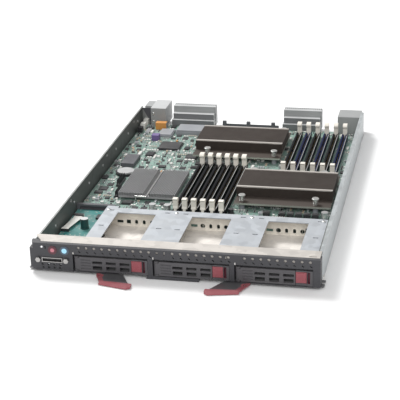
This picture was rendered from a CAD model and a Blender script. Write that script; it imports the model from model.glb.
"""Finishes and small parts of an open compute blade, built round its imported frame."""

import logging
import math
import random
from dataclasses import dataclass, field
from typing import Callable, Sequence

import bpy
from mathutils import Matrix, Vector


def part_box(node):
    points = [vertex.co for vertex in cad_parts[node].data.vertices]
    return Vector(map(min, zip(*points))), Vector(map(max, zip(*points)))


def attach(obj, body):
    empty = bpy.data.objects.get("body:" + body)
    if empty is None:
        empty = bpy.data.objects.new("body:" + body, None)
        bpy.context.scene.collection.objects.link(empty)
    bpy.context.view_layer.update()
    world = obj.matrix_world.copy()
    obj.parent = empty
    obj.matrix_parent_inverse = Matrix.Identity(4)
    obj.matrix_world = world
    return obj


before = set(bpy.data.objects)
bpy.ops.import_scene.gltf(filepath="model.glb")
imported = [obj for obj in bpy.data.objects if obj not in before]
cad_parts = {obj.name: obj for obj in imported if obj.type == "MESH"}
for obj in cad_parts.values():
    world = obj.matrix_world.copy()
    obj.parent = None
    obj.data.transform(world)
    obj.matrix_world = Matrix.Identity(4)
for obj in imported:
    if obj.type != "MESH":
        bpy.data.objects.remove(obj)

LOG = logging.getLogger("blade")
MM = 0.001
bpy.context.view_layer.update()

Colour = tuple[float, float, float]
Point = tuple[float, float, float]
Rect = tuple[float, float, float, float]
Span = tuple[float, float]
Rule = Callable[[Vector, Vector], str | None]


class Graph:
    """Adds and joins shader nodes in one tree."""

    def __init__(self, tree: bpy.types.NodeTree) -> None:
        """Keep the tree that the nodes go into.

        Args:
            tree: Node tree of a material or of a group.
        """
        self.tree = tree

    def feed(self, socket: bpy.types.NodeSocket, value: object) -> None:
        """Link a socket, or set its value.

        Args:
            socket: Input that takes the value.
            value: Another node's output, a number, a vector or a colour.
        """
        if isinstance(value, bpy.types.NodeSocket):
            self.tree.links.new(value, socket)
        else:
            socket.default_value = value

    def node(
        self, kind: str, inputs: dict[object, object] | None = None, **settings: object
    ) -> bpy.types.Node:
        """Add a node.

        Args:
            kind: Node type without its ShaderNode prefix.
            inputs: Values or links by input name or number.
            **settings: Attributes of the node, set before its inputs.

        Returns:
            The new node.
        """
        made = self.tree.nodes.new("ShaderNode" + kind)
        for name, value in settings.items():
            setattr(made, name, value)
        for name, value in (inputs or {}).items():
            self.feed(made.inputs[name], value)
        return made

    def math(
        self, operation: str, first: object, second: object = 0.0, clamp: bool = False
    ) -> bpy.types.NodeSocket:
        """Do one step of arithmetic.

        Args:
            operation: Name of the Math node's operation.
            first: First number or link.
            second: Second number or link.
            clamp: Whether the result stays between 0 and 1.

        Returns:
            The result.
        """
        return self.node("Math", {0: first, 1: second}, operation=operation, use_clamp=clamp).outputs[0]

    def blend(self, factor: object, low: object, high: object) -> bpy.types.NodeSocket:
        """Mix two colours.

        Args:
            factor: Share of the second colour.
            low: Colour at factor 0.
            high: Colour at factor 1.

        Returns:
            The mixed colour.
        """
        # The Mix node keeps its colours at inputs 6 and 7, and the mixed colour at output 2.
        return self.node("Mix", {0: factor, 6: low, 7: high}, data_type="RGBA").outputs[2]

    def remap(self, value: object, span: Span, to: Span = (0, 1)) -> bpy.types.NodeSocket:
        """Stretch a span of values onto another one, clamped.

        Args:
            value: Number or link.
            span: Lowest and highest value that is read.
            to: What those two become.

        Returns:
            The stretched value.
        """
        return self.node(
            "MapRange",
            {"Value": value, "From Min": span[0], "From Max": span[1], "To Min": to[0], "To Max": to[1]},
        ).outputs[0]

    def place(self) -> bpy.types.NodeSocket:
        """Give the place on the piece.

        Returns:
            Its coordinates in metres.
        """
        return self.node("TexCoord").outputs["Object"]


class ShaderGroups:
    """Shader node groups that several finishes share, each built once."""

    mottle_span: Span = (0.3, 0.7)
    edge_turn: Span = (0.995, 0.88)
    patch_span: Span = (0.38, 0.62)
    dust_slope: Span = (0.2, 0.95)
    dust_cloud: Span = (0.35, 0.75)
    crystal_warp: float = 0.006
    lines_scale: Point = (2200.0, 30.0, 400.0)
    track_share: float = 0.42
    across_below: float = 0.42
    slanted_above: float = 0.8
    bare_below: float = 0.3
    dot_above: float = 0.45
    pad_r: float = 0.16
    hole_r: float = 0.07

    def __init__(self) -> None:
        """Start with no group built."""
        self._made: dict[str, bpy.types.NodeTree] = {}

    def place(self, graph: Graph, name: str, **values: object) -> bpy.types.Node:
        """Put a group into a material.

        Args:
            graph: Graph of the material.
            name: Name of one of this class's building methods.
            **values: Input values, with underscores for spaces.

        Returns:
            The group's node.
        """
        if name not in self._made:
            self._made[name] = getattr(self, "_" + name)()
        made = graph.node("Group", node_tree=self._made[name])
        for key, value in values.items():
            graph.feed(made.inputs[key.replace("_", " ").title()], value)
        return made

    def _start(
        self, name: str, inputs: dict[str, float], outputs: Sequence[str]
    ) -> tuple[Graph, dict[str, bpy.types.NodeSocket], dict[str, bpy.types.NodeSocket]]:
        """Make an empty group with its sockets.

        Args:
            name: Group's name.
            inputs: Default of each number input.
            outputs: Names of the number outputs.

        Returns:
            The group's graph, its input links and its output sockets.
        """
        tree = bpy.data.node_groups.new(name, "ShaderNodeTree")
        for key, value in inputs.items():
            made = tree.interface.new_socket(key, in_out="INPUT", socket_type="NodeSocketFloat")
            made.default_value = value
        for key in outputs:
            tree.interface.new_socket(key, in_out="OUTPUT", socket_type="NodeSocketFloat")
        source = tree.nodes.new("NodeGroupInput")
        sink = tree.nodes.new("NodeGroupOutput")
        links = {key: source.outputs[key] for key in inputs}
        return Graph(tree), links, {key: sink.inputs[key] for key in outputs}

    def _grain(self) -> bpy.types.NodeTree:
        """Build fine moulded grain and a slow mottle.

        Returns:
            The group, with inputs Scale and Depth and outputs Height and Mottle.
        """
        graph, inputs, outputs = self._start("grain", {"Scale": 3000.0, "Depth": 1.0}, ("Height", "Mottle"))
        place = graph.place()
        fine = graph.node(
            "TexNoise", {"Vector": place, "Scale": inputs["Scale"], "Detail": 3.0, "Roughness": 0.6}
        )
        slow = graph.node("TexNoise", {"Vector": place, "Scale": 28.0, "Detail": 4.0, "Roughness": 0.55})
        graph.feed(outputs["Height"], graph.math("MULTIPLY", fine.outputs[0], inputs["Depth"]))
        graph.feed(outputs["Mottle"], graph.remap(slow.outputs[0], self.mottle_span))
        return graph.tree

    def _wear(self) -> bpy.types.NodeTree:
        """Build the mask of worn edges.

        Returns:
            The group, with inputs Width in metres and Amount and output Mask.
        """
        graph, inputs, outputs = self._start("wear", {"Width": 0.0006, "Amount": 0.5}, ("Mask",))
        soft = graph.node("Bevel", {"Radius": inputs["Width"]}, samples=3)
        flat = graph.node("NewGeometry")
        turn = graph.node(
            "VectorMath", {0: soft.outputs[0], 1: flat.outputs["Normal"]}, operation="DOT_PRODUCT"
        )
        edge = graph.remap(turn.outputs["Value"], self.edge_turn)
        patchy = graph.node("TexNoise", {"Vector": graph.place(), "Scale": 240.0, "Detail": 4.0})
        broken = graph.math("MULTIPLY", edge, graph.remap(patchy.outputs[0], self.patch_span))
        graph.feed(outputs["Mask"], graph.math("MULTIPLY", broken, inputs["Amount"], clamp=True))
        return graph.tree

    def _dust(self) -> bpy.types.NodeTree:
        """Build the mask of dust on faces that look up.

        Returns:
            The group, with input Amount and output Mask.
        """
        graph, inputs, outputs = self._start("dust", {"Amount": 0.2}, ("Mask",))
        normal = graph.node("SeparateXYZ", {0: graph.node("NewGeometry").outputs["Normal"]}).outputs["Z"]
        cloud = graph.node(
            "TexNoise", {"Vector": graph.place(), "Scale": 60.0, "Detail": 6.0, "Roughness": 0.65}
        )
        patches = graph.remap(cloud.outputs[0], self.dust_cloud)
        thick = graph.math("MULTIPLY", graph.remap(normal, self.dust_slope), patches)
        graph.feed(outputs["Mask"], graph.math("MULTIPLY", thick, inputs["Amount"], clamp=True))
        return graph.tree

    def _spangle(self) -> bpy.types.NodeTree:
        """Build the frosted crystal pattern of galvanised sheet, with fine rolling lines.

        Returns:
            The group, with input Scale and outputs Crystal and Lines.
        """
        graph, inputs, outputs = self._start("spangle", {"Scale": 90.0}, ("Crystal", "Lines"))
        place = graph.place()
        warp = graph.node("TexNoise", {"Vector": place, "Scale": 160.0, "Detail": 2.0})
        bent = graph.node(
            "VectorMath", {0: warp.outputs["Color"], 1: (self.crystal_warp,) * 3}, operation="MULTIPLY"
        )
        where = graph.node("VectorMath", {0: place, 1: bent.outputs[0]}, operation="ADD")
        cells = graph.node("TexVoronoi", {"Vector": where.outputs[0], "Scale": inputs["Scale"]})
        tone = graph.node("SeparateXYZ", {0: cells.outputs["Color"]})
        thin = graph.node("Mapping", {"Vector": place, "Scale": self.lines_scale})
        lines = graph.node("TexNoise", {"Vector": thin.outputs[0], "Scale": 1.0, "Detail": 2.0})
        graph.feed(outputs["Crystal"], tone.outputs["X"])
        graph.feed(outputs["Lines"], lines.outputs[0])
        return graph.tree

    def _tracks(self) -> bpy.types.NodeTree:
        """Build the copper tracks, pads and plated holes under a board's resist.

        Returns:
            The group, with input Pitch in metres and outputs Tracks, Pads and Holes.
        """
        graph, inputs, outputs = self._start("tracks", {"Pitch": 0.0011}, ("Tracks", "Pads", "Holes"))
        place = graph.node("SeparateXYZ", {0: graph.place()})
        x, y = place.outputs["X"], place.outputs["Y"]
        diagonal = graph.math("MULTIPLY", graph.math("ADD", x, y), 0.7071)  # half the root of 2
        zones = graph.node("TexVoronoi", {"Vector": graph.place(), "Scale": 42.0}, distance="CHEBYCHEV")
        pick = graph.node("SeparateXYZ", {0: zones.outputs["Color"]})

        def stripes(value: object) -> bpy.types.NodeSocket:
            """Give thin lines along one direction.

            Args:
                value: Coordinate across the lines.

            Returns:
                1 on a line and 0 between lines.
            """
            step = graph.math("FRACT", graph.math("DIVIDE", value, inputs["Pitch"]))
            return graph.math("LESS_THAN", step, self.track_share)

        across = graph.math("LESS_THAN", pick.outputs["X"], self.across_below)
        slanted = graph.math("GREATER_THAN", pick.outputs["X"], self.slanted_above)
        along = graph.math("SUBTRACT", graph.math("SUBTRACT", 1.0, across), slanted, clamp=True)
        parts = [
            graph.math("MULTIPLY", zone, stripes(coordinate))
            for zone, coordinate in ((across, x), (along, y), (slanted, diagonal))
        ]
        lines = graph.math("ADD", graph.math("ADD", parts[0], parts[1]), parts[2])
        busy = graph.math("GREATER_THAN", pick.outputs["Y"], self.bare_below)
        graph.feed(outputs["Tracks"], graph.math("MULTIPLY", lines, busy, clamp=True))
        dots = graph.node("TexVoronoi", {"Vector": graph.place(), "Scale": 210.0}, voronoi_dimensions="2D")
        chance = graph.node("SeparateXYZ", {0: dots.outputs["Color"]}).outputs["Z"]
        some = graph.math("GREATER_THAN", chance, self.dot_above)
        for name, radius in (("Pads", self.pad_r), ("Holes", self.hole_r)):
            disc = graph.math("LESS_THAN", dots.outputs[0], radius)
            graph.feed(outputs[name], graph.math("MULTIPLY", disc, some))
        return graph.tree


@dataclass(frozen=True)
class Finish:
    """A surface finish, dressed on the Principled shader.

    Its colour varies between two gains, and its roughness by two amounts, over a shared mask. The
    relief is the height of its bump in metres, and the relief share is the bump's strength.
    """

    name: str
    colour: Colour
    roughness: float = 0.5
    metallic: float = 0.0
    gains: Span = (0.88, 1.1)
    rough_by: Span = (-0.05, 0.07)
    relief: float = 0.00003
    relief_share: float = 0.4

    def build(self, groups: ShaderGroups) -> bpy.types.Material:
        """Make the material.

        Args:
            groups: Shared shader groups.

        Returns:
            The material.
        """
        made = bpy.data.materials.new(self.name)
        made.use_nodes = True
        graph = Graph(made.node_tree)
        shader = made.node_tree.nodes["Principled BSDF"]
        shader.inputs["Metallic"].default_value = self.metallic
        self.dress(graph, shader, groups)
        return made

    def rgba(self, gain: float = 1.0) -> tuple[float, float, float, float]:
        """Give the base colour times a gain.

        Args:
            gain: What each channel is multiplied by, up to 1.

        Returns:
            The colour, with full alpha.
        """
        red, green, blue = (min(channel * gain, 1) for channel in self.colour)
        return red, green, blue, 1

    def vary(self, graph: Graph, mask: object) -> bpy.types.NodeSocket:
        """Vary the base colour between the finish's two gains.

        Args:
            graph: Graph of the material.
            mask: Link that goes from 0 at the first gain to 1 at the second.

        Returns:
            The colour.
        """
        return graph.blend(mask, self.rgba(self.gains[0]), self.rgba(self.gains[1]))

    def roughen(self, graph: Graph, shader: bpy.types.Node, mask: object, dust: object = None) -> None:
        """Vary the roughness by the finish's two amounts.

        Args:
            graph: Graph of the material.
            shader: Its Principled shader.
            mask: Link that goes from 0 at the first amount to 1 at the second.
            dust: Link whose value is added, if any.
        """
        low, high = (self.roughness + amount for amount in self.rough_by)
        rough = graph.remap(mask, (0, 1), (low, high))
        if dust is not None:
            rough = graph.math("ADD", rough, dust, clamp=True)
        graph.feed(shader.inputs["Roughness"], rough)

    def bump(self, graph: Graph, shader: bpy.types.Node, height: object) -> None:
        """Raise the surface by a height field.

        Args:
            graph: Graph of the material.
            shader: Its Principled shader.
            height: Link with the height.
        """
        values = {"Height": height, "Distance": self.relief, "Strength": self.relief_share}
        graph.feed(shader.inputs["Normal"], graph.node("Bump", values).outputs[0])

    def dress(self, graph: Graph, shader: bpy.types.Node, groups: ShaderGroups) -> None:
        """Join colour, roughness and bump to the shader.

        Args:
            graph: Graph of the material.
            shader: Its Principled shader.
            groups: Shared shader groups.
        """
        grain = groups.place(graph, "grain")
        graph.feed(shader.inputs["Base Color"], self.vary(graph, grain.outputs["Mottle"]))
        self.roughen(graph, shader, grain.outputs["Mottle"])
        self.bump(graph, shader, grain.outputs["Height"])


@dataclass(frozen=True)
class MouldedPlastic(Finish):
    """Injection-moulded plastic with a fine grain, lighter worn edges and a little dust."""

    gains: Span = (0.9, 1.08)
    rough_by: Span = (-0.06, 0.06)
    relief: float = 0.00006
    relief_share: float = 0.6
    grain_scale: float = 3200.0
    edge_gain: float = 1.8
    edge_width: float = 0.0005
    wear: float = 0.6
    dust: float = 0.12
    dust_tone: Colour = (0.55, 0.53, 0.5)
    shine: float = 0.5

    def dress(self, graph: Graph, shader: bpy.types.Node, groups: ShaderGroups) -> None:
        """Join colour, roughness and bump to the shader.

        Args:
            graph: Graph of the material.
            shader: Its Principled shader.
            groups: Shared shader groups.
        """
        grain = groups.place(graph, "grain", scale=self.grain_scale)
        worn = groups.place(graph, "wear", width=self.edge_width, amount=self.wear)
        dusty = groups.place(graph, "dust", amount=self.dust)
        tone = self.vary(graph, grain.outputs["Mottle"])
        tone = graph.blend(worn.outputs["Mask"], tone, self.rgba(self.edge_gain))
        tone = graph.blend(dusty.outputs["Mask"], tone, (*self.dust_tone, 1))
        graph.feed(shader.inputs["Base Color"], tone)
        self.roughen(graph, shader, grain.outputs["Mottle"], dusty.outputs["Mask"])
        shader.inputs["Specular IOR Level"].default_value = self.shine
        self.bump(graph, shader, grain.outputs["Height"])


@dataclass(frozen=True)
class ZincSheet(Finish):
    """Galvanised sheet with faint crystals, rolling lines and bright cut edges."""

    gains: Span = (0.9, 1.1)
    rough_by: Span = (-0.07, 0.09)
    relief_share: float = 0.35
    crystal_scale: float = 110.0
    lines_gain: float = 0.8
    lines_share: float = 0.25
    edge_gain: float = 1.25
    edge_width: float = 0.0004
    wear: float = 0.8
    dust: float = 0.1
    dust_tone: Colour = (0.66, 0.62, 0.56)

    def dress(self, graph: Graph, shader: bpy.types.Node, groups: ShaderGroups) -> None:
        """Join colour, roughness and bump to the shader.

        Args:
            graph: Graph of the material.
            shader: Its Principled shader.
            groups: Shared shader groups.
        """
        frost = groups.place(graph, "spangle", scale=self.crystal_scale)
        worn = groups.place(graph, "wear", width=self.edge_width, amount=self.wear)
        dusty = groups.place(graph, "dust", amount=self.dust)
        tone = self.vary(graph, frost.outputs["Crystal"])
        streaks = graph.math("MULTIPLY", frost.outputs["Lines"], self.lines_share)
        tone = graph.blend(streaks, tone, self.rgba(self.lines_gain))
        tone = graph.blend(worn.outputs["Mask"], tone, self.rgba(self.edge_gain))
        tone = graph.blend(dusty.outputs["Mask"], tone, (*self.dust_tone, 1))
        graph.feed(shader.inputs["Base Color"], tone)
        self.roughen(graph, shader, frost.outputs["Crystal"], dusty.outputs["Mask"])
        self.bump(graph, shader, frost.outputs["Lines"])


@dataclass(frozen=True)
class BareMetal(Finish):
    """Bright or dull bare metal with a fine grain, worn edges and soft stains."""

    rough_by: Span = (-0.08, 0.1)
    relief_share: float = 0.3
    grain_scale: float = 1400.0
    edge_gain: float = 1.35
    edge_width: float = 0.0004
    wear: float = 0.9
    stain: Colour = (0.2, 0.18, 0.15)
    stain_share: float = 0.15

    def dress(self, graph: Graph, shader: bpy.types.Node, groups: ShaderGroups) -> None:
        """Join colour, roughness and bump to the shader.

        Args:
            graph: Graph of the material.
            shader: Its Principled shader.
            groups: Shared shader groups.
        """
        grain = groups.place(graph, "grain", scale=self.grain_scale)
        worn = groups.place(graph, "wear", width=self.edge_width, amount=self.wear)
        spots = graph.math("MULTIPLY", grain.outputs["Mottle"], self.stain_share)
        tone = graph.blend(spots, self.rgba(), (*self.stain, 1))
        tone = graph.blend(worn.outputs["Mask"], tone, self.rgba(self.edge_gain))
        graph.feed(shader.inputs["Base Color"], tone)
        self.roughen(graph, shader, grain.outputs["Mottle"])
        self.bump(graph, shader, grain.outputs["Height"])


@dataclass(frozen=True)
class BoardResist(Finish):
    """Solder resist over copper tracks, with tinned pads and plated holes."""

    gains: Span = (0.85, 1.1)
    relief: float = 0.00005
    relief_share: float = 0.6
    grain_scale: float = 900.0
    dust: float = 0.25
    dust_tone: Colour = (0.5, 0.52, 0.48)
    track_gain: float = 1.35
    track_rise: float = 0.6
    pitch: float = 0.0011
    pad: Colour = (0.62, 0.62, 0.56)
    pad_roughness: float = 0.25
    hole: Colour = (0.03, 0.05, 0.04)
    coat: float = 0.25
    coat_roughness: float = 0.3

    def dress(self, graph: Graph, shader: bpy.types.Node, groups: ShaderGroups) -> None:
        """Join colour, roughness and bump to the shader.

        Args:
            graph: Graph of the material.
            shader: Its Principled shader.
            groups: Shared shader groups.
        """
        copper = groups.place(graph, "tracks", pitch=self.pitch)
        grain = groups.place(graph, "grain", scale=self.grain_scale)
        dusty = groups.place(graph, "dust", amount=self.dust)
        tone = self.vary(graph, grain.outputs["Mottle"])
        tone = graph.blend(copper.outputs["Tracks"], tone, self.rgba(self.track_gain))
        tone = graph.blend(copper.outputs["Pads"], tone, (*self.pad, 1))
        tone = graph.blend(copper.outputs["Holes"], tone, (*self.hole, 1))
        tone = graph.blend(dusty.outputs["Mask"], tone, (*self.dust_tone, 1))
        graph.feed(shader.inputs["Base Color"], tone)
        rough = graph.remap(copper.outputs["Pads"], (0, 1), (self.roughness, self.pad_roughness))
        graph.feed(shader.inputs["Roughness"], rough)
        shader.inputs["Coat Weight"].default_value = self.coat
        shader.inputs["Coat Roughness"].default_value = self.coat_roughness
        rise = graph.math("MULTIPLY", copper.outputs["Tracks"], self.track_rise)
        self.bump(graph, shader, graph.math("ADD", rise, copper.outputs["Pads"]))


@dataclass(frozen=True)
class Glow(Finish):
    """Lamp lens or lit button that gives a little light of its own."""

    strength: float = 0.6
    coat: float = 0.5

    def dress(self, graph: Graph, shader: bpy.types.Node, groups: ShaderGroups) -> None:
        """Join colour, roughness and bump to the shader, then add the light and a clear coat.

        Args:
            graph: Graph of the material.
            shader: Its Principled shader.
            groups: Shared shader groups.
        """
        super().dress(graph, shader, groups)
        shader.inputs["Emission Color"].default_value = self.rgba()
        shader.inputs["Emission Strength"].default_value = self.strength
        shader.inputs["Coat Weight"].default_value = self.coat


FINISHES: dict[str, Finish] = {
    made.name: made
    for made in (
        ZincSheet("warm_zinc", (0.86, 0.81, 0.75), 0.6, 0.02),
        ZincSheet("cool_zinc", (0.47, 0.5, 0.51), 0.42, 0.45),
        ZincSheet("dull_zinc", (0.13, 0.14, 0.135), 0.5, 0.4),
        ZincSheet("edge_zinc", (0.3, 0.31, 0.3), 0.45, 0.4),
        ZincSheet("lip_zinc", (0.57, 0.535, 0.495), 0.5, 0.15),
        ZincSheet("cover_zinc", (0.45, 0.475, 0.505), 0.5, 0.25),
        ZincSheet("cage_zinc", (0.93, 0.87, 0.78), 0.55, 0.04),
        MouldedPlastic("charcoal", (0.046, 0.046, 0.052), 0.5),
        MouldedPlastic("pip_grey", (0.6, 0.58, 0.56), 0.45, wear=0.2),
        MouldedPlastic("carrier_grey", (0.075, 0.072, 0.078), 0.45),
        MouldedPlastic("carrier_black", (0.028, 0.028, 0.032), 0.42),
        MouldedPlastic("pocket_maroon", (0.11, 0.02, 0.035), 0.45),
        MouldedPlastic("button_ring_red", (0.1, 0.03, 0.04), 0.4),
        MouldedPlastic("button_ring_blue", (0.07, 0.1, 0.14), 0.4),
        MouldedPlastic("maroon", (0.3, 0.075, 0.09), 0.42, edge_gain=1.7),
        MouldedPlastic("ivory", (0.84, 0.8, 0.72), 0.5, edge_gain=1.1, wear=0.3),
        MouldedPlastic("socket_black", (0.006, 0.006, 0.008), 0.5, wear=0.2, dust=0.02, shine=0.12),
        MouldedPlastic("socket_blue", (0.005, 0.01, 0.05), 0.5, wear=0.2, dust=0.02, shine=0.15),
        MouldedPlastic("socket_edge", (0.42, 0.42, 0.4), 0.45, wear=0.2),
        MouldedPlastic("plug_grey", (0.34, 0.35, 0.35), 0.45, edge_gain=1.2),
        MouldedPlastic("plug_light", (0.5, 0.51, 0.51), 0.45, edge_gain=1.2),
        MouldedPlastic("plug_shade", (0.17, 0.175, 0.18), 0.45, edge_gain=1.2),
        MouldedPlastic("plug_dark", (0.1, 0.1, 0.11), 0.45),
        MouldedPlastic("part_black", (0.025, 0.025, 0.028), 0.4, wear=0.3),
        MouldedPlastic("cap_teal", (0.012, 0.05, 0.05), 0.35, wear=0.3),
        MouldedPlastic("part_grey", (0.3, 0.31, 0.33), 0.5, wear=0.3),
        MouldedPlastic("part_white", (0.8, 0.79, 0.74), 0.5, edge_gain=1.1, wear=0.3),
        MouldedPlastic("part_tan", (0.45, 0.36, 0.24), 0.5, wear=0.3),
        MouldedPlastic("part_orange", (0.62, 0.28, 0.07), 0.45, wear=0.3),
        MouldedPlastic("part_violet", (0.16, 0.11, 0.28), 0.45, wear=0.3),
        MouldedPlastic("part_green", (0.08, 0.3, 0.12), 0.45, wear=0.3),
        MouldedPlastic("print_white", (0.78, 0.82, 0.78), 0.6, edge_gain=1.0, wear=0.0, dust=0.05),
        BareMetal("dark_steel", (0.17, 0.17, 0.18), 0.42, 0.6),
        BareMetal("fin_bronze", (0.084, 0.067, 0.057), 0.6, 0.25, stain=(0.05, 0.04, 0.034), stain_share=0.4),
        BareMetal("fin_rail", (0.62, 0.58, 0.54), 0.4, 0.5),
        BareMetal("fin_edge", (0.4, 0.42, 0.37), 0.45, 0.4),
        BareMetal("fin_grey", (0.36, 0.36, 0.365), 0.5, 0.2, stain=(0.24, 0.24, 0.24), stain_share=0.4),
        BareMetal("port_shell", (0.45, 0.44, 0.43), 0.35, 0.8),
        BareMetal("nickel", (0.78, 0.78, 0.76), 0.28, 0.95),
        BareMetal("tin", (0.7, 0.7, 0.7), 0.38, 0.85),
        BareMetal("gold", (0.85, 0.62, 0.25), 0.3, 0.95),
        BoardResist("board_green", (0.18, 0.3, 0.255), 0.42),
        BoardResist("board_dark", (0.008, 0.02, 0.015), 0.5),
        BoardResist("board_teal", (0.03, 0.2, 0.19), 0.42, pitch=0.0014),
        Glow("lamp_white", (0.9, 0.9, 0.92), 0.3, strength=0.35),
        Glow("button_blue", (0.32, 0.62, 0.8), 0.3, strength=0.25),
        Glow("button_maroon", (0.5, 0.16, 0.2), 0.35, strength=0.1),
    )
}


class Shop:
    """Keeps the built materials and puts them on meshes."""

    def __init__(self) -> None:
        """Start with no material built."""
        self.groups = ShaderGroups()
        self._made: dict[str, bpy.types.Material] = {}

    def material(self, name: str) -> bpy.types.Material:
        """Give a finish's material, built at its first use.

        Args:
            name: Name of the finish.

        Returns:
            The material.
        """
        if name not in self._made:
            self._made[name] = FINISHES[name].build(self.groups)
        return self._made[name]

    def dress(self, node: str, finish: str, rule: Rule | None = None) -> None:
        """Put finishes on a frame node.

        Args:
            node: Frame node's name.
            finish: Finish of every face that the rule doesn't name.
            rule: Gives a face's finish from its centre and normal, or None.
        """
        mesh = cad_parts[node].data
        names = [finish]
        picks = [0] * len(mesh.polygons)
        if rule:
            for face in mesh.polygons:
                name = rule(face.center, face.normal)
                if name:
                    if name not in names:
                        names.append(name)
                    picks[face.index] = names.index(name)
        mesh.materials.clear()
        for name in names:
            mesh.materials.append(self.material(name))
        mesh.polygons.foreach_set("material_index", picks)
        mesh.update()
        LOG.info("dressed %s with %s", node, ", ".join(names))


class Draft:
    """Gathers the faces of one new piece, in metres in the frame."""

    bevel_shares: Span = (0.4, 0.6)
    smooth_below: float = 35.0
    recess_long: float = 0.42
    recess_wide: float = 0.12
    recess_deep: float = 0.02 * MM

    def __init__(self, shop: Shop) -> None:
        """Start an empty piece.

        Args:
            shop: Gives the materials.
        """
        self.shop = shop
        self.points: list[Point] = []
        self.faces: list[tuple[int, ...]] = []
        self.picks: list[int] = []
        self.names: list[str] = []

    def _face(self, corners: Sequence[int], finish: str) -> None:
        """Add one face.

        Args:
            corners: Indices of its points, counter-clockwise from outside.
            finish: Its finish.
        """
        if finish not in self.names:
            self.names.append(finish)
        self.faces.append(tuple(corners))
        self.picks.append(self.names.index(finish))

    def block(self, low: Point, high: Point, finish: str, bevel: float = 0.0) -> None:
        """Add a box whose top edges are bevelled.

        Args:
            low: Its lowest corner.
            high: Its highest corner.
            finish: Its finish.
            bevel: Width of the top bevel.
        """
        (x0, y0, z0), (x1, y1, z1) = low, high
        flat, upright = self.bevel_shares
        cut = min(bevel, (x1 - x0) * flat, (y1 - y0) * flat, (z1 - z0) * upright)
        rings = [(0.0, z0), (0.0, z1 - cut)] + ([(cut, z1)] if cut > 0 else [])
        first = len(self.points)
        for inset, z in rings:
            self.points += [
                (x0 + inset, y0 + inset, z),
                (x1 - inset, y0 + inset, z),
                (x1 - inset, y1 - inset, z),
                (x0 + inset, y1 - inset, z),
            ]
        for ring in range(len(rings) - 1):
            at = first + 4 * ring
            for side in range(4):
                nxt = (side + 1) % 4
                self._face((at + side, at + nxt, at + 4 + nxt, at + 4 + side), finish)
        at = first + 4 * (len(rings) - 1)
        self._face((at, at + 1, at + 2, at + 3), finish)
        self._face((first + 3, first + 2, first + 1, first), finish)

    def turned(
        self, foot: Point, axis: str, profile: Sequence[tuple[float, float]], finish: str, sides: int = 16
    ) -> None:
        """Add a closed turned form.

        Args:
            foot: Where its axis starts.
            axis: Z for upright, -Y for towards the front, X or -X for towards the right or left.
            profile: Radius and height of each ring, from the foot up.
            finish: Its finish.
            sides: Number of sides.
        """
        turns = {
            "Z": Matrix.Identity(3),
            "-Y": Matrix.Rotation(math.pi / 2, 3, "X"),
            "X": Matrix.Rotation(math.pi / 2, 3, "Y"),
            "-X": Matrix.Rotation(-math.pi / 2, 3, "Y"),
        }
        first = len(self.points)
        base = Vector(foot)
        for radius, height in profile:
            for side in range(sides):
                angle = 2 * math.pi * side / sides
                spot = Vector((radius * math.cos(angle), radius * math.sin(angle), height))
                self.points.append(tuple(base + turns[axis] @ spot))
        for ring in range(len(profile) - 1):
            at = first + sides * ring
            for side in range(sides):
                nxt = (side + 1) % sides
                self._face((at + side, at + nxt, at + sides + nxt, at + sides + side), finish)
        last = first + sides * (len(profile) - 1)
        self._face(tuple(last + side for side in range(sides)), finish)
        self._face(tuple(first + side for side in reversed(range(sides))), finish)

    def screw(self, head: Point, radius: float) -> None:
        """Add a domed screw head with a cross recess, facing up.

        Args:
            head: Middle of the head's underside.
            radius: Head's radius.
        """
        dome = ((radius, 0), (radius * 0.95, radius * 0.3), (radius * 0.6, radius * 0.5))
        self.turned(head, "Z", dome, "nickel", 14)
        x, y, z = head
        top = z + dome[-1][1]
        for long, wide in ((self.recess_long, self.recess_wide), (self.recess_wide, self.recess_long)):
            self.block(
                (x - radius * long, y - radius * wide, top),
                (x + radius * long, y + radius * wide, top + self.recess_deep),
                "part_black",
            )

    def finish(self, name: str, body: str, slot: str, smooth: bool = False) -> bpy.types.Object:
        """Make the object, and let it ride on its body.

        Args:
            name: Piece's name.
            body: Body that it moves with.
            slot: Record's material slot that it takes.
            smooth: Whether its faces shade smoothly below a small angle.

        Returns:
            The object.
        """
        mesh = bpy.data.meshes.new(name)
        mesh.from_pydata(self.points, [], self.faces)
        for finish in self.names:
            mesh.materials.append(self.shop.material(finish))
        mesh.polygons.foreach_set("material_index", self.picks)
        if smooth:
            mesh.shade_smooth()
            mesh.set_sharp_from_angle(angle=math.radians(self.smooth_below))
        mesh.update()
        made = bpy.data.objects.new(name, mesh)
        bpy.context.scene.collection.objects.link(made)
        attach(made, body)
        LOG.info("built %s: %d faces", name, len(self.faces))
        return made


def node_box(node: str) -> tuple[Vector, Vector]:
    """Find a frame node's box.

    Args:
        node: Frame node's name.

    Returns:
        Its lowest and highest corner, in metres.
    """
    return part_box(node)


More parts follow.
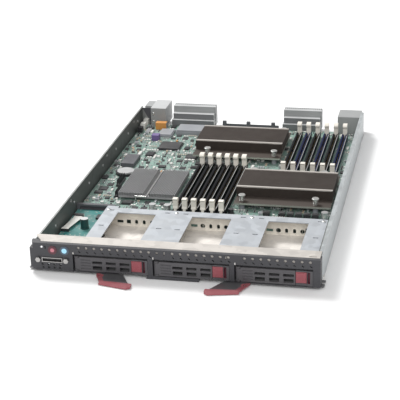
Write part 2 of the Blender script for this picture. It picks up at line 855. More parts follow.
@dataclass
class SheetMetal:
    """Chassis tray, crossbar, drive cage and cover, with their fasteners."""

    shop: Shop
    # Zones of the tray, then the cover's screws, the lip's screws and the walls' rivets
    floor_top: float = 2 * MM
    left_zone: float = 6 * MM
    right_zone: float = 20 * MM
    rail_zone: float = 4 * MM
    screw_r: float = 2.1 * MM
    screw_sunk: float = 0.5 * MM
    screw_shares: tuple[float, ...] = (0.017, 0.33, 0.67, 0.983)
    screw_front: float = 15 * MM
    screw_rear: float = 10.4 * MM
    lip_shares: tuple[float, ...] = (0.06, 0.3, 0.58, 0.86)
    lip_at: float = 3.4 * MM
    lip_sunk: float = 0.9 * MM
    lip_dome: tuple[Span, ...] = ((1.7 * MM, 0), (1.7 * MM, 0.86 * MM), (1.4 * MM, 0.95 * MM))
    rivet_r: float = 1.5 * MM
    rivet_up: float = 15 * MM
    rivet_shares: tuple[float, ...] = (0.16, 0.31, 0.44, 0.57, 0.7, 0.83, 0.94)
    wall: float = 1.0 * MM

    def build(self) -> None:
        """Dress the sheet-metal nodes and add the fasteners."""
        low, high = node_box("chassis_tray")

        def walls(centre: Vector, normal: Vector) -> str | None:
            """Give the walls their own tones, and the left one its dark inside.

            Args:
                centre: Face's middle.
                normal: Face's direction.

            Returns:
                Its finish, or None for the node's own.
            """
            if centre.z < low.z + self.floor_top:
                return None
            if centre.x < low.x + self.left_zone:
                return "dull_zinc" if normal.x > 0.5 or normal.z < -0.5 else "edge_zinc"
            if centre.y > high.y - self.rail_zone and centre.x < high.x - self.right_zone:
                return "plug_dark"
            return "cool_zinc"

        self.shop.dress("chassis_tray", "warm_zinc", walls)
        self.shop.dress("front_crossbar", "lip_zinc")
        self.shop.dress("drive_cage", "cage_zinc")
        self.shop.dress("cage_cover", "cover_zinc")
        self.shop.dress("board_bar", "plug_dark")
        self._cover_screws()
        self._lip_screws()
        self._wall_rivets(low, high)

    def _cover_screws(self) -> None:
        """Add the screws that hold the cage's cover."""
        low, high = node_box("cage_cover")
        draft = Draft(self.shop)
        top = high.z - self.screw_sunk
        for share in self.screw_shares:
            x = low.x + share * (high.x - low.x)
            for y in (high.y - self.screw_rear, low.y + self.screw_front):
                draft.screw((x, y, top), self.screw_r)
        draft.finish("cover_screws", "chassis", "bright_metal", True)

    def _lip_screws(self) -> None:
        """Add the flush screws along the crossbar's lip."""
        low, high = node_box("front_crossbar")
        draft = Draft(self.shop)
        for share in self.lip_shares:
            at = (low.x + share * (high.x - low.x), high.y - self.lip_at, high.z - self.lip_sunk)
            draft.turned(at, "Z", self.lip_dome, "lip_zinc", 14)
        draft.finish("lip_screws", "chassis", "bright_metal", True)

    def _wall_rivets(self, low: Vector, high: Vector) -> None:
        """Add the flat rivet heads on the inside of both side walls.

        Args:
            low: Chassis tray's lowest corner.
            high: Its highest corner.
        """
        draft = Draft(self.shop)
        profile = ((self.rivet_r, 0), (self.rivet_r * 0.9, 0.35 * MM), (self.rivet_r * 0.5, 0.5 * MM))
        z = low.z + self.rivet_up
        for share in self.rivet_shares:
            y = low.y + share * (high.y - low.y)
            draft.turned((low.x + self.wall, y, z), "X", profile, "tin", 12)
            draft.turned((high.x - self.wall, y, z), "-X", profile, "tin", 12)
        draft.finish("wall_rivets", "chassis", "bright_metal", True)


@dataclass
class FrontPanel:
    """Front panel, its buttons, lamp and console port."""

    shop: Shop
    # Zones behind the panel's foremost face, the port's inside, the lamp and the buttons' caps
    raised: float = 0.9 * MM
    pip_front: float = 0.3 * MM
    ring_front: float = 0.45 * MM
    ring_r: float = 4.7 * MM
    port_half_tall: float = 1.75 * MM
    port_half_wide: float = 9.9 * MM
    lamp_r: float = 1.05 * MM
    lamp_at: Point = (12.8 * MM, 2.4 * MM, 4 * MM)
    cap_sunk: float = 0.05 * MM
    caps: tuple[tuple[str, str, float], ...] = (
        ("power", "button_maroon", 2.1 * MM),
        ("console", "button_blue", 2.625 * MM),
    )

    def build(self) -> None:
        """Dress the panel and its controls."""
        low, high = node_box("front_panel")
        bays = node_box("carrier_1")[0].x
        rings = []
        for name, colour in (("power", "button_ring_red"), ("console", "button_ring_blue")):
            middle = sum(node_box(f"{name}_button"), Vector()) / 2
            rings.append((middle.x, middle.z, colour))
            self.shop.dress(f"{name}_button", colour)

        def panel(centre: Vector, normal: Vector) -> str | None:
            """Give the stop pips a pale tone, and the button rings their colours.

            Args:
                centre: Face's middle.
                normal: Face's direction.

            Returns:
                Its finish, or None for the node's own.
            """
            back = centre.y - low.y
            if back > self.raised:
                return None
            if centre.x > bays - MM:
                return "pip_grey" if back < self.pip_front else None
            for x, z, colour in rings:
                if math.hypot(centre.x - x, centre.z - z) < self.ring_r and back < self.ring_front:
                    return colour
            return None

        self.shop.dress("front_panel", "charcoal", panel)
        port = sum(node_box("console_port"), Vector()) / 2

        def shell(centre: Vector, normal: Vector) -> str | None:
            """Keep the shell bright and its inside dark.

            Args:
                centre: Face's middle.
                normal: Face's direction.

            Returns:
                Its finish, or None for the node's own.
            """
            away = centre - port
            inside = abs(away.z) < self.port_half_tall and abs(away.x) < self.port_half_wide
            return "part_black" if inside else None

        self.shop.dress("console_port", "port_shell", shell)
        self._lamp(low, high)
        self._caps()

    def _lamp(self, low: Vector, high: Vector) -> None:
        """Add the white lamp lens in its hole, left of the power button.

        Args:
            low: Front panel's lowest corner.
            high: Its highest corner.
        """
        draft = Draft(self.shop)
        across, back, down = self.lamp_at
        lens = ((self.lamp_r, 0), (self.lamp_r, 1.9 * MM), (0.6 * MM, 2.3 * MM))
        draft.turned((low.x + across, low.y + back, high.z - down), "-Y", lens, "lamp_white")
        draft.finish("lamp_lens", "chassis", "ivory_plastic", True)

    def _caps(self) -> None:
        """Add the coloured centre of each round button."""
        for name, colour, rim in self.caps:
            low, high = node_box(f"{name}_button")
            draft = Draft(self.shop)
            at = ((low.x + high.x) / 2, low.y + self.cap_sunk, (low.z + high.z) / 2)
            dome = ((rim, 0), (rim, 0.12 * MM), (rim * 0.7, 0.3 * MM), (rim * 0.3, 0.38 * MM))
            draft.turned(at, "-Y", dome, colour, 24)
            draft.finish(f"{name}_button_cap", f"{name}_button_body", "blue_plastic", True)


@dataclass
class Carriers:
    """The three drive carriers with their handles and release buttons."""

    shop: Shop
    # Zones of the carrier, its screen (rows and columns of wire) and its button's ribs
    count: int = 3
    frame_deep: float = 5.8 * MM
    pocket_x: Span = (2.4 * MM, 5 * MM)
    pocket_y: Span = (0.3 * MM, 4 * MM)
    screen_back: float = 9.1 * MM
    screen_x: Span = (18 * MM, 58 * MM)
    screen_z: Span = (2 * MM, 1 * MM)
    screen_rows: int = 9
    row_first: float = 2.4
    row_pitch: float = 1.35
    screen_columns: int = 20
    wire: float = 0.35 * MM
    row_deep: float = 0.3 * MM
    column_deep: float = 0.2 * MM
    ribs: int = 4
    rib_first: float = 2.6
    rib_pitch: float = 1.6
    rib_tall: float = 0.7 * MM
    rib_in: float = 2.2 * MM
    rib_half: float = 0.2 * MM

    def build(self) -> None:
        """Dress each carrier and add its screen and button ribs."""
        for index in range(1, self.count + 1):
            low, high = node_box(f"carrier_{index}")

            def rails(centre: Vector, normal: Vector) -> str | None:
                """Give the rails a dark plastic, and the pocket beside the button its maroon.

                Args:
                    centre: Face's middle.
                    normal: Face's direction.

                Returns:
                    Its finish, or None for the carrier's own.
                """
                back, inward = centre.y - low.y, high.x - centre.x
                if back > self.frame_deep:
                    return "carrier_black"
                pocket = self.pocket_x[0] < inward < self.pocket_x[1]
                return "pocket_maroon" if pocket and self.pocket_y[0] < back < self.pocket_y[1] else None

            self.shop.dress(f"carrier_{index}", "carrier_grey", rails)
            self.shop.dress(f"carrier_handle_{index}", "carrier_grey")
            self.shop.dress(f"carrier_button_{index}", "maroon")
            self._button_ribs(index)
            self._mesh(index)

    def _mesh(self, index: int) -> None:
        """Add the wire screen behind a carrier's vents.

        Args:
            index: Carrier's number.
        """
        low, high = node_box(f"carrier_{index}")
        draft = Draft(self.shop)
        y = low.y + self.screen_back
        behind = y + self.row_deep
        x0, x1 = (low.x + edge for edge in self.screen_x)
        for step in range(self.screen_rows):
            z = low.z + (self.row_first + self.row_pitch * step) * MM
            draft.block((x0, y, z), (x1, behind, z + self.wire), "part_green")
        z0, z1 = low.z + self.screen_z[0], high.z - self.screen_z[1]
        for step in range(self.screen_columns):
            x = x0 + step * (x1 - x0) / (self.screen_columns - 0.5)
            draft.block((x, behind, z0), (x + self.wire, behind + self.column_deep, z1), "part_green")
        draft.finish(f"vent_screen_{index}", f"carrier_body_{index}", "black_plastic")

    def _button_ribs(self, index: int) -> None:
        """Add raised ribs to a release button.

        Args:
            index: Carrier's number.
        """
        low, high = node_box(f"carrier_button_{index}")
        draft = Draft(self.shop)
        x0, x1 = low.x + self.rib_in, high.x - self.rib_in
        y0, y1 = low.y - self.rib_half, low.y + self.rib_half
        for step in range(self.ribs):
            z = low.z + (self.rib_first + self.rib_pitch * step) * MM
            draft.block((x0, y0, z), (x1, y1, z + self.rib_tall), "maroon")
        draft.finish(f"button_ribs_{index}", f"release_body_{index}", "maroon_plastic")


@dataclass
class Levers:
    """The two release levers and their grips."""

    shop: Shop

    def build(self) -> None:
        """Dress the plates and the grips."""
        for side in ("left", "right"):
            self.shop.dress(f"{side}_lever", "dark_steel")
            self.shop.dress(f"{side}_grip", "maroon")


@dataclass
class MemoryBanks:
    """Memory sockets with their contacts, and their latches."""

    shop: Shop
    # Sockets of each bank, their pale edge lines, and their contacts beside the key
    count: int = 6
    blue: tuple[int, ...] = (1, 3, 5)
    body_tall: float = 8 * MM
    half_long: float = 75 * MM
    edge_at: float = 2.75 * MM
    edge_wide: float = 0.55 * MM
    edge_reach: float = 66 * MM
    edge_z: Span = (-0.02 * MM, 0.06 * MM)
    contact_pitch: float = 2.0 * MM
    contacts_each_way: int = 32
    contact_wide: float = 0.9 * MM
    contact_x: Span = (0.45 * MM, 0.78 * MM)
    contact_z: Span = (-5.4 * MM, -3.2 * MM)
    key_y: Span = (7 * MM, 10.5 * MM)

    def build(self) -> None:
        """Dress the sockets and latches, and add the rows of contacts and the pale edges."""
        centres = self._centres()

        def colour(centre: Vector, normal: Vector) -> str | None:
            """Give every other rear socket its blue.

            Args:
                centre: Face's middle.
                normal: Face's direction.

            Returns:
                Its finish, or None for the node's own.
            """
            bank, index = self._nearest(centres, centre)
            return "socket_blue" if bank == 1 and index in self.blue else None

        self.shop.dress("memory_sockets", "socket_black", colour)
        for bank in "ab":
            for index in range(1, self.count + 1):
                for end in ("front", "rear"):
                    self.shop.dress(f"latch_{bank}{index}_{end}", "ivory")
        self._contacts(centres)
        self._edges(centres)

    def _edges(self, centres: list[tuple[int, int, float, float]]) -> None:
        """Add the thin pale edge line along one side of each socket.

        Args:
            centres: What _centres found.
        """
        top = node_box("main_board")[1].z + self.body_tall
        draft = Draft(self.shop)
        for _, _, x, y in centres:
            side = x + self.edge_at
            draft.block(
                (side, y - self.edge_reach, top + self.edge_z[0]),
                (side + self.edge_wide, y + self.edge_reach, top + self.edge_z[1]),
                "socket_edge",
            )
        draft.finish("socket_edges", "chassis", "component_plastic")

    def _centres(self) -> list[tuple[int, int, float, float]]:
        """Find each socket's middle from its two latches.

        Returns:
            Bank, number, x and y of each socket.
        """
        found = []
        for bank, letter in enumerate("ab"):
            for index in range(1, self.count + 1):
                front = node_box(f"latch_{letter}{index}_front")
                rear = node_box(f"latch_{letter}{index}_rear")
                x = (front[0].x + front[1].x) / 2
                found.append((bank, index - 1, x, (front[0].y + rear[1].y) / 2))
        return found

    def _nearest(self, centres: list[tuple[int, int, float, float]], spot: Vector) -> tuple[int, int]:
        """Name the socket that a face belongs to.

        Args:
            centres: What _centres found.
            spot: Face's middle.

        Returns:
            Its bank and number.
        """

        def away(centre: tuple[int, int, float, float]) -> float:
            """Measure how far the face lies outside a socket's middle line.

            Args:
                centre: Bank, number, x and y of the socket.

            Returns:
                The distance, in metres.
            """
            return abs(centre[2] - spot.x) + max(0.0, abs(centre[3] - spot.y) - self.half_long)

        return min(centres, key=away)[:2]

    def _contacts(self, centres: list[tuple[int, int, float, float]]) -> None:
        """Add the gold contacts on both sides of each slot.

        Args:
            centres: What _centres found.
        """
        top = node_box("main_board")[1].z + self.body_tall
        z0, z1 = (top + height for height in self.contact_z)
        draft = Draft(self.shop)
        for _, _, x, y in centres:
            for step in range(-self.contacts_each_way, self.contacts_each_way + 1):
                spot = y + step * self.contact_pitch
                if self.key_y[0] < spot - y < self.key_y[1]:
                    continue
                for sign in (-1, 1):
                    near, far = sorted(x + sign * reach for reach in self.contact_x)
                    draft.block((near, spot, z0), (far, spot + self.contact_wide, z1), "gold")
        draft.finish("memory_contacts", "chassis", "bright_metal")


@dataclass
class Coolers:
    """Processor coolers, their screws, and the chipset cooler with its clip."""

    shop: Shop
    # Zones of the coolers, and the thin fins that stand between the frame's own
    bar_tall: float = 1.3 * MM
    bar_top: float = 0.1 * MM
    plate_tall: float = 2.0 * MM
    side_from: float = 4 * MM
    same_side: float = 0.1 * MM
    fin_half: float = 0.3 * MM
    fin_end: float = 0.05 * MM
    fin_z: Span = (2.4 * MM, 0.5 * MM)
    fin_gap: Span = (1.2 * MM, 3 * MM)

    def build(self) -> None:
        """Dress the coolers and what holds them."""
        low, high = node_box("processor_coolers")

        def rails(centre: Vector, normal: Vector) -> str | None:
            """Give the bars on the fin tips and the edges of the base plates a paler metal.

            Args:
                centre: Face's middle.
                normal: Face's direction.

            Returns:
                Its finish, or None for the node's own.
            """
            below = high.z - centre.z
            if below < self.bar_tall and (below < self.bar_top or abs(normal.y) > 0.5):
                return "fin_rail"
            if centre.z < low.z + self.plate_tall and abs(normal.z) < 0.5:
                return "fin_edge"
            return None

        self.shop.dress("processor_coolers", "fin_bronze", rails)
        self._fine_fins(low, high)
        self.shop.dress("cooler_screws", "nickel")
        self.shop.dress("processor_sockets", "part_grey")
        self.shop.dress("processors", "nickel")
        self.shop.dress("chipset_cooler", "fin_grey")
        self.shop.dress("chipset_clip", "nickel")

    def _fine_fins(self, low: Vector, high: Vector) -> None:
        """Add a thin fin in each gap between two of the cooler's fins.

        Args:
            low: Coolers' lowest corner.
            high: Their highest corner.
        """
        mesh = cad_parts["processor_coolers"].data
        sides: dict[tuple[int, int], tuple[float, float, float]] = {}
        for face in mesh.polygons:
            if abs(face.normal.x) < 0.9 or face.center.z < low.z + self.side_from:
                continue
            ys = [mesh.vertices[v].co.y for v in face.vertices]
            bank = int(face.center.y > (low.y + high.y) / 2)
            key = (bank, round(face.center.x / self.same_side))
            old = sides.get(key, (face.center.x, math.inf, -math.inf))
            sides[key] = (face.center.x, min(old[1], *ys), max(old[2], *ys))
        draft = Draft(self.shop)
        z0, z1 = low.z + self.fin_z[0], high.z - self.fin_z[1]
        for bank in (0, 1):
            row = sorted(spot for key, spot in sides.items() if key[0] == bank)
            for near, far in zip(row, row[1:]):
                if self.fin_gap[0] < far[0] - near[0] < self.fin_gap[1]:
                    x = (near[0] + far[0]) / 2
                    draft.block(
                        (x - self.fin_half, near[1] + self.fin_end, z0),
                        (x + self.fin_half, near[2] - self.fin_end, z1),
                        "fin_bronze",
                    )
        draft.finish("fine_fins", "chassis", "bright_metal")


@dataclass
class SmallPart:
    """One kind of small board part: its size in millimetres, its finish and its share."""

    size: Point
    body: str
    share: float


class Plot:
    """Map of the free places on the main board, in small square cells."""

    cell: float = 0.5 * MM

    def __init__(self, low: Vector, high: Vector, notch: Span) -> None:
        """Start with everything free but the board's notch.

        Args:
            low: Board's lowest corner.
            high: Its highest corner.
            notch: Width and depth of the notch in the board's front left corner.
        """
        self.low, self.high = low, high
        self.across = int((high.x - low.x) / self.cell) + 2
        self.along = int((high.y - low.y) / self.cell) + 2
        self.taken = [bytearray(self.across) for _ in range(self.along)]
        self.take((low.x, low.y, low.x + notch[0], low.y + notch[1]))

    def _cells(self, rect: Rect, margin: float) -> tuple[int, int, int, int]:
        """Find the cells under a place.

        Args:
            rect: Lowest x and y, then highest x and y.
            margin: Space round it.

        Returns:
            First and last column, first and last row.
        """
        x0, y0, x1, y1 = rect
        first = max(0, int((x0 - margin - self.low.x) / self.cell))
        last = min(self.across - 1, int((x1 + margin - self.low.x) / self.cell))
        bottom = max(0, int((y0 - margin - self.low.y) / self.cell))
        top = min(self.along - 1, int((y1 + margin - self.low.y) / self.cell))
        return first, last, bottom, top

    def take(self, rect: Rect) -> None:
        """Mark a place as taken.

        Args:
            rect: Lowest x and y, then highest x and y.
        """
        first, last, bottom, top = self._cells(rect, 0)
        if last >= first:
            for row in range(bottom, top + 1):
                self.taken[row][first:last + 1] = bytes([1]) * (last + 1 - first)

    def free(self, rect: Rect, margin: float) -> bool:
        """Tell whether a place on the board is free.

        Args:
            rect: Lowest x and y, then highest x and y.
            margin: Space that stays round it.

        Returns:
            True if it is on the board and nothing stands there.
        """
        x0, y0, x1, y1 = rect
        low, high = self.low, self.high
        if x0 < low.x + MM or y0 < low.y + MM or x1 > high.x - MM or y1 > high.y - MM:
            return False
        first, last, bottom, top = self._cells(rect, margin)
        return not any(any(self.taken[row][first:last + 1]) for row in range(bottom, top + 1))


@dataclass
class MainBoard:
    """Main board, control board and everything soldered to them."""

    shop: Shop
    seed: int = 11
    notch: Span = (46.5 * MM, 29 * MM)
    # Green parts on the backplane: place of the first hole, half width, and y and z spans
    first_hole: float = -22.9 * MM
    part_half: float = 4 * MM
    part_y: Span = (2.5 * MM, 1.6 * MM)
    part_z: Span = (0.5 * MM, 5 * MM)
    # Control board, in millimetres: resist's top, capacitor, sleeve's top and ribbon cable
    resist_top: float = 1.65
    capacitor: Point = (25.2, -50, 4.8)
    sleeve_top: float = 12.7
    ribbon_right: float = 17.1
    ribbon_z: Span = (4.85, 0.3)
    # Main board, in millimetres from its lowest corner: coin cell, zones by x and y, and metal cans
    coin_cell: Point = (24.8, 134, 10.2)
    coin_from: float = 1
    zones: tuple[tuple[Span, Span, str], ...] = (
        ((-math.inf, 8), (285, math.inf), "part_white"),
        ((-math.inf, 34), (285, math.inf), "part_orange"),
        ((-math.inf, 40), (240, 262), "part_violet"),
        ((30, 52), (258, math.inf), "part_grey"),
        ((50, 94), (270, math.inf), "part_grey"),
        ((-math.inf, 32), (150, 190), "plug_dark"),
    )
    cans: tuple[Span, ...] = ((79, 88), (95.5, 104.5), (266, math.inf))
    cans_before: float = 40
    cans_from: float = 1.2
    # Print lines round parts of these sizes
    outlined_x: Span = (5 * MM, 45 * MM)
    outlined_y: Span = (5 * MM, 60 * MM)
    print_line: float = 0.35 * MM
    print_tall: float = 0.03 * MM
    print_gap: float = 1.2 * MM
    # Chips: width, depth and height in millimetres, and the sides with legs
    chips: int = 74
    chip_tries: int = 2600
    chip_sizes: tuple[tuple[float, float, float, int], ...] = (
        (5, 4, 1.5, 2), (6, 5, 1.5, 2), (9, 6, 2, 2), (7, 7, 1.2, 4), (10, 10, 1.4, 4), (4, 3, 1.2, 2),
    )
    chip_crowd: Span = (0.42, 0.75)
    chip_clear: float = 2 * MM
    chip_up: float = 0.15 * MM
    chip_bevel: float = 0.25 * MM
    leg_pitch: float = 0.8 * MM
    leg_wide: float = 0.38 * MM
    leg_out: float = 0.8 * MM
    leg_tall: float = 0.4 * MM
    leg_in: float = 0.1 * MM
    bevel: float = 0.1 * MM
    # Small parts: crowd is the width and the share of the crowded left part
    small_parts: int = 2600
    small_tries: int = 14000
    small_crowd: Span = (0.43, 0.62)
    small_clear: float = 0.35 * MM
    rows: tuple[int, ...] = (1, 1, 2, 3, 4, 6)
    row_gap: float = 0.9 * MM
    cap_share: float = 0.22
    cap_rise: float = 1.03
    kinds: tuple[SmallPart, ...] = (
        SmallPart((1.0, 0.5, 0.4), "part_black", 0.14),
        SmallPart((1.6, 0.8, 0.7), "part_grey", 0.22),
        SmallPart((2.0, 1.25, 0.6), "part_black", 0.12),
        SmallPart((3.2, 1.6, 1.5), "part_tan", 0.1),
        SmallPart((3.0, 1.8, 1.1), "part_black", 0.1),
        SmallPart((3.6, 2.8, 1.9), "part_orange", 0.01),
        SmallPart((3.2, 2.2, 1.6), "part_white", 0.2),
        SmallPart((4.4, 3.4, 2.4), "part_white", 0.06),
        SmallPart((5.0, 2.0, 2.8), "part_grey", 0.05),
    )
    plot: Plot | None = None
    outlined: list[Rect] = field(default_factory=list)

    def build(self) -> None:
        """Dress the boards and add the small parts."""
        self.shop.dress("main_board", "board_green")
        self.shop.dress("drive_backplane", "board_dark")
        self._backplane_parts()
        low, high = node_box("control_board")
        bar = node_box("board_bar")[0].y
        wall = node_box("chassis_tray")[0].x

        def control(centre: Vector, normal: Vector) -> str | None:
            """Give the capacitor, the ribbon cable, its connectors and the chips their colours.

            Args:
                centre: Face's middle.
                normal: Face's direction.

            Returns:
                Its finish, or None for the node's own.
            """
            x, y, z = (centre.x - wall) / MM, (centre.y - bar) / MM, (centre.z - low.z) / MM
            if z < self.resist_top:
                return None
            if math.hypot(x - self.capacitor[0], y - self.capacitor[1]) < self.capacitor[2]:
                return "tin" if z > self.sleeve_top else "cap_teal"
            if x < self.ribbon_right and abs(z - self.ribbon_z[0]) < self.ribbon_z[1]:
                return "part_white"
            return "part_black"

        self.shop.dress("control_board", "board_teal", control)
        self._components()
        self._block_out()
        self._prints()
        self._chips()
        self._passives()

    def _backplane_parts(self) -> None:
        """Add the green parts on the backplane behind the first hole of the second and third bay."""
        draft = Draft(self.shop)
        low, high = node_box("drive_backplane")
        y0, y1 = (high.y - back for back in self.part_y)
        z0, z1 = low.z + self.part_z[0], high.z - self.part_z[1]
        for index in (2, 3):
            bay = node_box(f"carrier_{index}")
            x = (bay[0].x + bay[1].x) / 2 + self.first_hole
            draft.block((x - self.part_half, y0, z0), (x + self.part_half, y1, z1), "board_green")
        draft.finish("backplane_parts", "chassis", "component_plastic")

    def _components(self) -> None:
        """Dress the larger components by where they stand."""
        low, high = node_box("main_board")

        def pick(centre: Vector, normal: Vector) -> str | None:
            """Give each component its colour.

            Args:
                centre: Face's middle.
                normal: Face's direction.

            Returns:
                Its finish, or None for the node's own.
            """
            x, y, z = (centre.x - low.x) / MM, (centre.y - low.y) / MM, (centre.z - high.z) / MM
            cell = math.hypot(x - self.coin_cell[0], y - self.coin_cell[1])
            if cell < self.coin_cell[2] and z > self.coin_from:
                return "tin"
            for (x0, x1), (y0, y1), colour in self.zones:
                if x0 < x < x1 and y0 < y < y1:
                    return colour
            if y < self.cans_before and z > self.cans_from and any(x0 < x < x1 for x0, x1 in self.cans):
                return "tin"
            return None

        self.shop.dress("board_components", "part_black", pick)

    def _block_out(self) -> None:
        """Note the places that larger parts take up."""
        low, high = node_box("main_board")
        self.plot = Plot(low, high, self.notch)
        for node in (
            "memory_sockets", "board_components", "processor_sockets", "chipset_cooler",
            "signal_connectors", "power_connector", "rear_guides", "cooler_screws",
        ):
            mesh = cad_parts[node].data
            for face in mesh.polygons:
                if abs(face.normal.z) < 0.5 or face.center.z < high.z - MM:
                    continue
                xs = [mesh.vertices[v].co.x for v in face.vertices]
                ys = [mesh.vertices[v].co.y for v in face.vertices]
                x0, y0, x1, y1 = rect = (min(xs), min(ys), max(xs), max(ys))
                self.plot.take(rect)
                fits = self.outlined_x[0] < x1 - x0 < self.outlined_x[1]
                if fits and self.outlined_y[0] < y1 - y0 < self.outlined_y[1]:
                    self.outlined.append(rect)

    def _prints(self) -> None:
        """Add the white print lines round the larger parts."""
        top = node_box("main_board")[1].z
        draft = Draft(self.shop)
        line, gap = self.print_line, self.print_gap
        for x0, y0, x1, y1 in self.outlined:
            left, front, right, rear = x0 - gap, y0 - gap, x1 + gap, y1 + gap
            for rect in (
                (left, front, right, front + line),
                (left, rear - line, right, rear),
                (left, front + line, left + line, rear - line),
                (right - line, front + line, right, rear - line),
            ):
                if self._inside(*rect):
                    draft.block((*rect[:2], top), (*rect[2:], top + self.print_tall), "print_white")
        draft.finish("board_print", "chassis", "component_plastic")

    def _inside(self, x0: float, y0: float, x1: float, y1: float) -> bool:
        """Tell whether a print line lies on the board.

        Args:
            x0: Its lowest x.
            y0: Its lowest y.
            x1: Its highest x.
            y1: Its highest y.

        Returns:
            True if it lies within the board and clear of the notch.
        """
        low, high = node_box("main_board")
        on_notch = x0 < low.x + self.notch[0] and y0 < low.y + self.notch[1]
        return x0 > low.x and y0 > low.y and x1 < high.x and y1 < high.y and not on_notch

    def _chips(self) -> None:
        """Scatter chips with legs on two or four sides over the free places."""
        low, high = node_box("main_board")
        draw = random.Random(self.seed)
        draft = Draft(self.shop)
        crowded, often = self.chip_crowd
        placed = 0
        for _ in range(self.chip_tries):
            if placed >= self.chips:
                break
            wide, deep, tall, legs = draw.choice(self.chip_sizes)
            if draw.random() < 0.5:
                wide, deep = deep, wide
            x = low.x + draw.random() * ((high.x - low.x) * (crowded if draw.random() < often else 1))
            y = low.y + draw.random() * (high.y - low.y)
            rect = (x - wide / 2 * MM, y - deep / 2 * MM, x + wide / 2 * MM, y + deep / 2 * MM)
            if self.plot.free(rect, self.chip_clear):
                self._legged(draft, rect, high.z, tall * MM, legs)
                self.plot.take((rect[0] - MM, rect[1] - MM, rect[2] + MM, rect[3] + MM))
                placed += 1
        draft.finish("board_chips", "chassis", "component_plastic")

    def _legged(self, draft: Draft, rect: Rect, top: float, tall: float, legs: int) -> None:
        """Add one chip with its legs.

        Args:
            draft: Piece that takes it.
            rect: Its body's outline.
            top: Height of the board.
            tall: Chip's height.
            legs: 2 for legs on two sides, 4 for legs on all sides.
        """
        body_low, body_high = (*rect[:2], top + self.chip_up), (*rect[2:], top + tall)
        draft.block(body_low, body_high, "part_black", self.chip_bevel)
        for axis in (0, 1) if legs == 4 else (0,):
            start, end = rect[axis], rect[axis + 2]
            near, far = rect[1 - axis], rect[3 - axis]
            count = int((end - start - self.leg_wide) / self.leg_pitch)
            for step in range(count):
                at = start + (step + 0.6) * (end - start) / count - self.leg_wide
                ends = (near - self.leg_out, near + self.leg_in), (far - self.leg_in, far + self.leg_out)
                for root, tip in ends:
                    low, high = (at, root), (at + self.leg_wide, tip)
                    if axis:
                        low, high = low[::-1], high[::-1]
                    draft.block((*low, top), (*high, top + self.leg_tall), "tin", self.bevel)

    def _passives(self) -> None:
        """Scatter rows of resistors and capacitors over the free places."""
        low, high = node_box("main_board")
        draw = random.Random(self.seed + 1)
        draft = Draft(self.shop)
        weights = [kind.share for kind in self.kinds]
        crowded, often = self.small_crowd
        made = 0
        for _ in range(self.small_tries):
            if made >= self.small_parts:
                break
            kind = draw.choices(self.kinds, weights)[0]
            long, wide, tall = (value * MM for value in kind.size)
            upright = draw.random() < 0.5
            dx, dy = (wide, long) if upright else (long, wide)
            x = low.x + draw.random() * ((high.x - low.x) * (crowded if draw.random() < often else 1))
            y = low.y + draw.random() * (high.y - low.y)
            row = draw.choice(self.rows)
            step = (dx if upright else dy) + self.row_gap
            for number in range(row):
                cx = x + (number * step if upright else 0)
                cy = y + (0 if upright else number * step)
                rect = (cx - dx / 2, cy - dy / 2, cx + dx / 2, cy + dy / 2)
                if not self.plot.free(rect, self.small_clear):
                    break
                self._small_part(draft, rect, high.z, tall, kind.body, upright)
                self.plot.take(rect)
                made += 1
        draft.finish("board_passives", "chassis", "component_plastic")

    def _small_part(
        self, draft: Draft, rect: Rect, top: float, tall: float, body: str, upright: bool
    ) -> None:
        """Add one leadless part with its two metal ends.

        Args:
            draft: Piece that takes it.
            rect: Its outline.
            top: Height of the board.
            tall: Part's height.
            body: Finish between its ends.
            upright: True if its long side runs along the blade.
        """
        axis = int(upright)
        start, end = rect[axis], rect[axis + 2]
        cap = (end - start) * self.cap_share
        for near, far, finish, height in (
            (start + cap, end - cap, body, tall),
            (start, start + cap, "tin", tall * self.cap_rise),
            (end - cap, end, "tin", tall * self.cap_rise),
        ):
            place = list(rect)
            place[axis], place[axis + 2] = near, far
            draft.block((*place[:2], top), (*place[2:], top + height), finish, self.bevel)


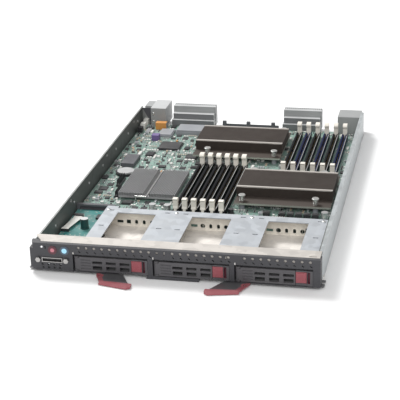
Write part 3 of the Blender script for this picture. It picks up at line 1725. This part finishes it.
@dataclass
class RearPlugs:
    """Power plug, signal plugs and guide sockets at the rear."""

    shop: Shop
    # Zones by a face's direction, the contact slots and the power plug's screws
    facing: float = 0.7
    shade_below: float = 8 * MM
    slot_pitch: float = 2.4 * MM
    slot_half: float = 0.5 * MM
    slot_y: Span = (6 * MM, 1.5 * MM)
    slot_z: Span = (-0.02 * MM, 0.05 * MM)
    screw_shares: Span = (0.25, 0.7)
    screw_across: float = 3 * MM
    screw_sunk: float = 0.02 * MM
    screw_dome: tuple[Span, ...] = ((2 * MM, 0), (1.9 * MM, 0.8 * MM), (MM, 1.2 * MM))

    def build(self) -> None:
        """Dress the plugs, and add their contact slots and screws."""
        high = node_box("signal_connectors")[1]

        def lit(centre: Vector, normal: Vector) -> str | None:
            """Give the tops a light tone.

            Args:
                centre: Face's middle.
                normal: Face's direction.

            Returns:
                Its finish, or None for the node's own.
            """
            return "plug_light" if normal.z > self.facing else None

        def bands(centre: Vector, normal: Vector) -> str | None:
            """Give the steps' tops a light tone and their upright faces a darker one.

            Args:
                centre: Face's middle.
                normal: Face's direction.

            Returns:
                Its finish, or None for the node's own.
            """
            if abs(normal.y) > self.facing and centre.z < high.z - self.shade_below:
                return "plug_shade"
            return lit(centre, normal)

        self.shop.dress("power_connector", "plug_grey", lit)
        self.shop.dress("signal_connectors", "plug_grey", bands)
        self.shop.dress("rear_guides", "plug_grey")
        self._rows(high)
        self._screws()

    def _rows(self, high: Vector) -> None:
        """Add dark contact slots along the top of each signal plug's rear edge.

        Args:
            high: Signal plugs' highest corner.
        """
        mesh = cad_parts["signal_connectors"].data
        tops = [face for face in mesh.polygons if face.normal.z > 0.9 and face.center.z > high.z - 0.2 * MM]
        xs = sorted(mesh.vertices[v].co.x for face in tops for v in face.vertices)
        split = max(zip(xs, xs[1:]), key=lambda pair: pair[1] - pair[0])
        draft = Draft(self.shop)
        (y0, y1), (z0, z1) = (high.y - back for back in self.slot_y), (high.z + up for up in self.slot_z)
        for x0, x1 in ((xs[0], split[0]), (split[1], xs[-1])):
            count = int((x1 - x0) / self.slot_pitch)
            for step in range(count):
                x = x0 + (step + 0.5) * (x1 - x0) / count
                draft.block((x - self.slot_half, y0, z0), (x + self.slot_half, y1, z1), "part_black")
        draft.finish("plug_slots", "chassis", "black_plastic")

    def _screws(self) -> None:
        """Add the two bright screws on the left of the power plug."""
        low, high = node_box("power_connector")
        draft = Draft(self.shop)
        for share in self.screw_shares:
            at = (low.x + self.screw_across, low.y - self.screw_sunk, low.z + share * (high.z - low.z))
            draft.turned(at, "-Y", self.screw_dome, "nickel", 14)
        draft.finish("plug_screws", "chassis", "bright_metal", True)


@dataclass
class Studio:
    """Pale floor, soft lights and the camera."""

    azimuth: float = 12.62
    elevation: float = 22.266
    roll: float = -1.721
    distance: float = 1.38022
    lens: float = 114.5
    sensor: float = 36
    clip: Span = (0.05, 30)
    target: Point = (-0.00819, -0.06591, 0.015)
    floor_reach: float = 6.0
    floor_z: float = -0.0004
    floor_tone: float = 0.95
    floor_roughness: float = 0.9
    sky: float = 0.52
    # Lamps: name, place, size in metres and power in watts
    lamps: tuple[tuple[str, Point, float, float], ...] = (
        ("key", (-0.8, 0.7, 1.5), 0.6, 27),
        ("fill", (0.3, -1.7, 1.3), 1.3, 17),
    )

    def build(self) -> None:
        """Set the whole studio."""
        self._floor()
        self._lights()
        self._camera()
        bpy.context.scene.view_settings.view_transform = "Standard"

    def _floor(self) -> None:
        """Lay the floor just under the chassis."""
        mesh = bpy.data.meshes.new("floor")
        reach = self.floor_reach
        corners = ((-reach, -reach), (reach, -reach), (reach, reach), (-reach, reach))
        mesh.from_pydata([(x, y, self.floor_z) for x, y in corners], [], [(0, 1, 2, 3)])
        floor = bpy.data.objects.new("floor", mesh)
        bpy.context.scene.collection.objects.link(floor)
        made = bpy.data.materials.new("floor_white")
        made.use_nodes = True
        shader = made.node_tree.nodes["Principled BSDF"]
        shader.inputs["Base Color"].default_value = (*(self.floor_tone,) * 3, 1)
        shader.inputs["Roughness"].default_value = self.floor_roughness
        mesh.materials.append(made)

    def _lights(self) -> None:
        """Hang a broad key light at the rear left, a fill in front, and a white sky."""
        world = bpy.data.worlds.new("sky")
        world.use_nodes = True
        background = world.node_tree.nodes["Background"]
        background.inputs["Color"].default_value = (1, 1, 1, 1)
        background.inputs["Strength"].default_value = self.sky
        bpy.context.scene.world = world
        for name, spot, size, power in self.lamps:
            lamp = bpy.data.lights.new(name, "AREA")
            lamp.size = size
            lamp.energy = power
            held = bpy.data.objects.new(name, lamp)
            held.location = spot
            held.rotation_euler = (-Vector(spot)).to_track_quat("-Z", "Y").to_euler()
            bpy.context.scene.collection.objects.link(held)

    def _camera(self) -> None:
        """Place the camera on a circle round its target, rolled a little."""
        az, el, roll = (math.radians(v) for v in (self.azimuth, self.elevation, self.roll))
        back = Vector((math.sin(az) * math.cos(el), -math.cos(az) * math.cos(el), math.sin(el)))
        right = Vector((math.cos(az), math.sin(az), 0))
        up = back.cross(right)
        side = right * math.cos(roll) + up * math.sin(roll)
        top = up * math.cos(roll) - right * math.sin(roll)
        data = bpy.data.cameras.new("camera")
        data.lens = self.lens
        data.sensor_width = self.sensor
        data.clip_start, data.clip_end = self.clip
        camera = bpy.data.objects.new("camera", data)
        turn = Matrix((side, top, back)).transposed().to_4x4()
        camera.matrix_world = Matrix.Translation(Vector(self.target) + back * self.distance) @ turn
        bpy.context.scene.collection.objects.link(camera)
        bpy.context.scene.camera = camera


def main() -> None:
    """Build every sub-assembly in order."""
    logging.basicConfig(level=logging.INFO, format="%(name)s: %(message)s")
    shop = Shop()
    Studio().build()
    for maker in (
        SheetMetal(shop),
        FrontPanel(shop),
        Carriers(shop),
        Levers(shop),
        MemoryBanks(shop),
        Coolers(shop),
        MainBoard(shop),
        RearPlugs(shop),
    ):
        maker.build()
        LOG.info("%s done", type(maker).__name__)


if __name__ == "__main__":
    main()
